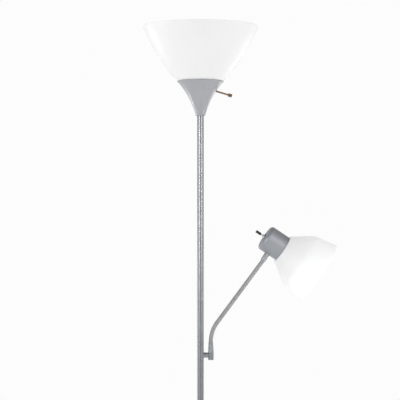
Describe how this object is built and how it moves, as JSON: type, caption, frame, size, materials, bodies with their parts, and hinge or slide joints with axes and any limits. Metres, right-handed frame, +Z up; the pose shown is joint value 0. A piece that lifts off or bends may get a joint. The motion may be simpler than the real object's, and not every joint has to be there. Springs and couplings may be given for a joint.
{
  "type": "torchiere floor lamp with reading light",
  "caption": "Tall floor lamp on a round base: a bowl shade that opens upwards, and a small bell-shaped reading light on a gooseneck that bends from the pole.",
  "frame": {"origin": "centre of the base's underside, on the floor and on the pole's axis", "axes": "+Z up along the pole, +X towards the side that the reading light's arm points to, +Y to the back as the picture sees the lamp"},
  "size_m": [0.4702, 0.279, 1.8],
  "materials": {
    "satin_silver": "satin silver paint",
    "satin_gooseneck": "satin silver flexible tube",
    "zinc": "zinc plated",
    "nickel": "satin nickel plated",
    "bronze": "dark bronze plated",
    "brass": "bright brass",
    "white_shade": "translucent white",
    "black_plastic": "moulded, satin",
    "holder_plastic": "moulded phenolic",
    "frosted_glass": "frosted white",
    "bulb_metal": "rolled thread",
    "cement": "cast, rough",
    "felt": "black felt",
    "insulation": "flexible, smooth"
  },
  "bodies": {
    "stand": {"arm_collar": "satin_silver", "arm_fitting": "satin_silver", "arm_insert": "zinc", "arm_nipple": "zinc", "arm_pole": "satin_silver", "base_cover": "satin_silver", "base_nipple": "zinc", "base_nut": "zinc", "base_pad": "felt", "base_washer": "zinc", "base_weight": "cement", "cord_bushing": "black_plastic", "cup_nut": "zinc", "gooseneck_link_01": "satin_gooseneck", "lower_pole": "satin_silver", "middle_pole": "satin_silver", "pole_bushes": "zinc", "pole_flex": "insulation", "pole_nipples": "zinc", "top_nipple": "zinc", "upper_bulb_cap": "bulb_metal", "upper_bulb_glass": "frosted_glass", "upper_contact": "brass", "upper_cup": "satin_silver", "upper_holder": "holder_plastic", "upper_pole": "satin_silver", "upper_screw_shell": "brass", "upper_shade": "white_shade", "upper_shade_ring": "holder_plastic", "upper_strap": "zinc", "upper_switch": "holder_plastic"},
    "gooseneck_2": {"gooseneck_link_02": "satin_gooseneck"},
    "gooseneck_3": {"gooseneck_link_03": "satin_gooseneck"},
    "gooseneck_4": {"gooseneck_link_04": "satin_gooseneck"},
    "gooseneck_5": {"gooseneck_link_05": "satin_gooseneck"},
    "gooseneck_6": {"gooseneck_link_06": "satin_gooseneck"},
    "gooseneck_7": {"gooseneck_link_07": "satin_gooseneck"},
    "gooseneck_8": {"gooseneck_link_08": "satin_gooseneck"},
    "gooseneck_9": {"gooseneck_link_09": "satin_gooseneck"},
    "gooseneck_10": {"gooseneck_link_10": "satin_gooseneck"},
    "reading_head": {"gooseneck_link_11": "satin_gooseneck", "gooseneck_sleeve": "satin_silver", "sleeve_nut": "zinc", "reading_cup": "satin_silver", "reading_strap": "zinc", "reading_switch": "holder_plastic", "reading_switch_nut": "nickel", "reading_holder": "holder_plastic", "reading_screw_shell": "brass", "reading_contact": "brass", "reading_bulb_cap": "bulb_metal", "reading_bulb_glass": "frosted_glass", "reading_shade_ring": "holder_plastic", "reading_shade": "white_shade"},
    "upper_switch_knob": {"upper_stem": "bronze", "upper_knob": "bronze"},
    "reading_switch_knob": {"reading_shaft": "nickel", "reading_knob": "black_plastic"}
  },
  "joints": [
    {"name": "gooseneck_bend_1", "type": "hinge", "parent": "stand", "child": "gooseneck_2", "pos_m": [0.02587, 0, 1.05016], "axis": [0, 1, 0], "range_deg": [-6, 12]},
    {"name": "gooseneck_sway_1", "type": "hinge", "parent": "gooseneck_2", "child": "gooseneck_3", "pos_m": [0.03248, 0, 1.07269], "axis": [0.9054, 0, -0.4245], "range_deg": [-9, 9]},
    {"name": "gooseneck_bend_2", "type": "hinge", "parent": "gooseneck_3", "child": "gooseneck_4", "pos_m": [0.04526, 0, 1.09243], "axis": [0, 1, 0], "range_deg": [-6, 12]},
    {"name": "gooseneck_sway_2", "type": "hinge", "parent": "gooseneck_4", "child": "gooseneck_5", "pos_m": [0.05939, 0, 1.11131], "axis": [0.8007, 0, -0.599], "range_deg": [-9, 9]},
    {"name": "gooseneck_bend_3", "type": "hinge", "parent": "gooseneck_5", "child": "gooseneck_6", "pos_m": [0.07351, 0, 1.13019], "axis": [0, 1, 0], "range_deg": [-6, 12]},
    {"name": "gooseneck_sway_3", "type": "hinge", "parent": "gooseneck_6", "child": "gooseneck_7", "pos_m": [0.08763, 0, 1.14906], "axis": [0.8007, 0, -0.599], "range_deg": [-9, 9]},
    {"name": "gooseneck_bend_4", "type": "hinge", "parent": "gooseneck_7", "child": "gooseneck_8", "pos_m": [0.10175, 0, 1.16794], "axis": [0, 1, 0], "range_deg": [-6, 12]},
    {"name": "gooseneck_sway_4", "type": "hinge", "parent": "gooseneck_8", "child": "gooseneck_9", "pos_m": [0.11587, 0, 1.18682], "axis": [0.8007, 0, -0.599], "range_deg": [-9, 9]},
    {"name": "gooseneck_bend_5", "type": "hinge", "parent": "gooseneck_9", "child": "gooseneck_10", "pos_m": [0.12999, 0, 1.20569], "axis": [0, 1, 0], "range_deg": [-6, 12]},
    {"name": "gooseneck_sway_5", "type": "hinge", "parent": "gooseneck_10", "child": "reading_head", "pos_m": [0.14411, 0, 1.22457], "axis": [0.8007, 0, -0.599], "range_deg": [-9, 9]},
    {"name": "upper_switch_turn", "type": "hinge", "parent": "stand", "child": "upper_switch_knob", "pos_m": [0, 0, 1.6548], "axis": [0.9632, 0, -0.2689], "continuous": true},
    {"name": "reading_switch_turn", "type": "hinge", "parent": "reading_head", "child": "reading_switch_knob", "pos_m": [0.20082, 0, 1.26439], "axis": [-0.8368, 0, 0.5476], "continuous": true}
  ],
  "couplings": [
    {"joint": "gooseneck_bend_2", "follows": "gooseneck_bend_1", "ratio": 1},
    {"joint": "gooseneck_bend_3", "follows": "gooseneck_bend_1", "ratio": 1},
    {"joint": "gooseneck_bend_4", "follows": "gooseneck_bend_1", "ratio": 1},
    {"joint": "gooseneck_bend_5", "follows": "gooseneck_bend_1", "ratio": 1},
    {"joint": "gooseneck_sway_2", "follows": "gooseneck_sway_1", "ratio": 1},
    {"joint": "gooseneck_sway_3", "follows": "gooseneck_sway_1", "ratio": 1},
    {"joint": "gooseneck_sway_4", "follows": "gooseneck_sway_1", "ratio": 1},
    {"joint": "gooseneck_sway_5", "follows": "gooseneck_sway_1", "ratio": 1}
  ]
}
